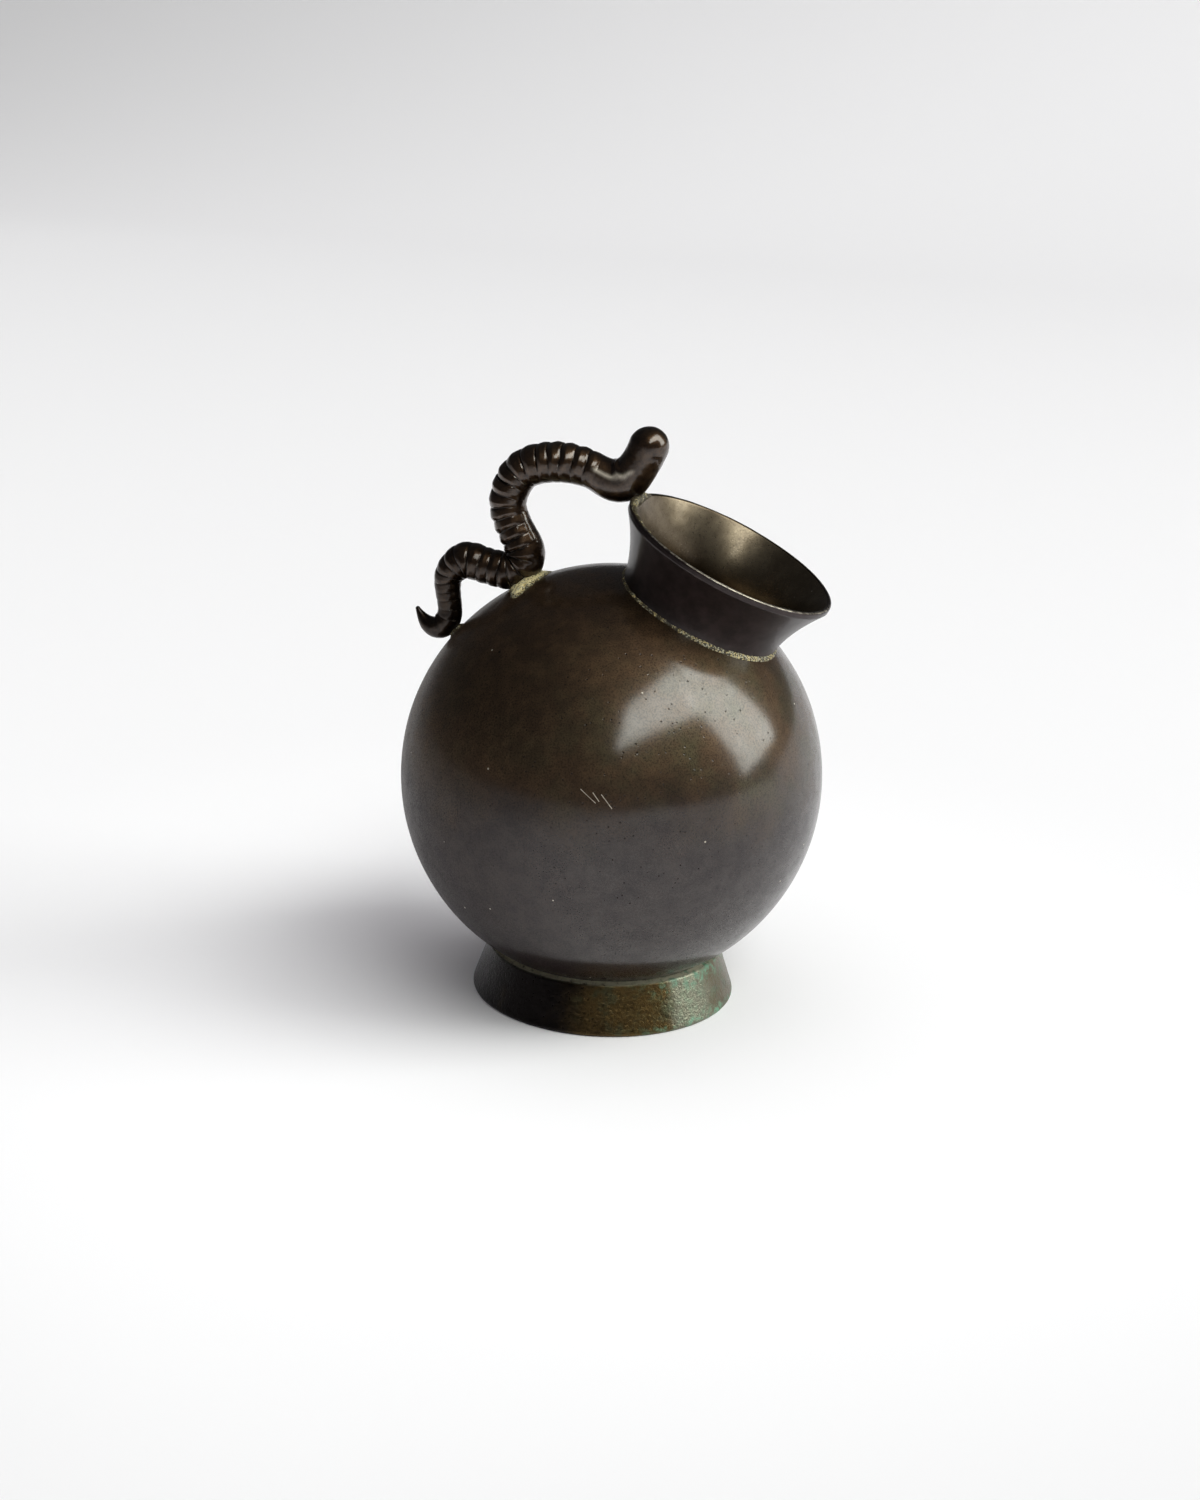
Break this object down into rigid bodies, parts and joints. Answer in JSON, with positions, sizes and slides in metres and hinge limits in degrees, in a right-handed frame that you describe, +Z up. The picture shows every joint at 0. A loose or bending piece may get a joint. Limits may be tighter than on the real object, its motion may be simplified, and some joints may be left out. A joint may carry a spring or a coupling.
{
  "type": "miniature vase",
  "caption": "Small jug-shaped bronze vase: hollow globe on a flared foot ring, leaning flared neck, and a ringed worm-shaped handle brazed to rim and globe.",
  "frame": {"origin": "centre of the foot ring's flat underside, on the surface that the vase stands on", "axes": "+Z up, +X the way the neck leans, the handle on the -X side; the XZ plane is the plane of symmetry"},
  "size_m": [0.07, 0.0698, 0.0963],
  "materials": {
    "globe_bronze": "satin dark brown patina on bronze, with fine scratches and pits",
    "neck_bronze": "glossy, nearly black brown patina, worn bright along the rim",
    "foot_bronze": "satin olive brown patina with green verdigris along the lip and edge",
    "worm_bronze": "waxed black brown patina, brown on the crowns of the rings",
    "braze_brass": "granular yellow brass filler metal, dulled",
    "solder_grey": "dull grey soft solder"
  },
  "bodies": {
    "root": {"globe": "globe_bronze", "neck": "neck_bronze", "foot_ring": "foot_bronze", "worm_handle": "worm_bronze", "neck_braze": "braze_brass", "saddle_braze": "braze_brass", "rim_braze": "braze_brass", "tail_braze": "braze_brass", "foot_solder": "solder_grey"}
  },
  "joints": []
}
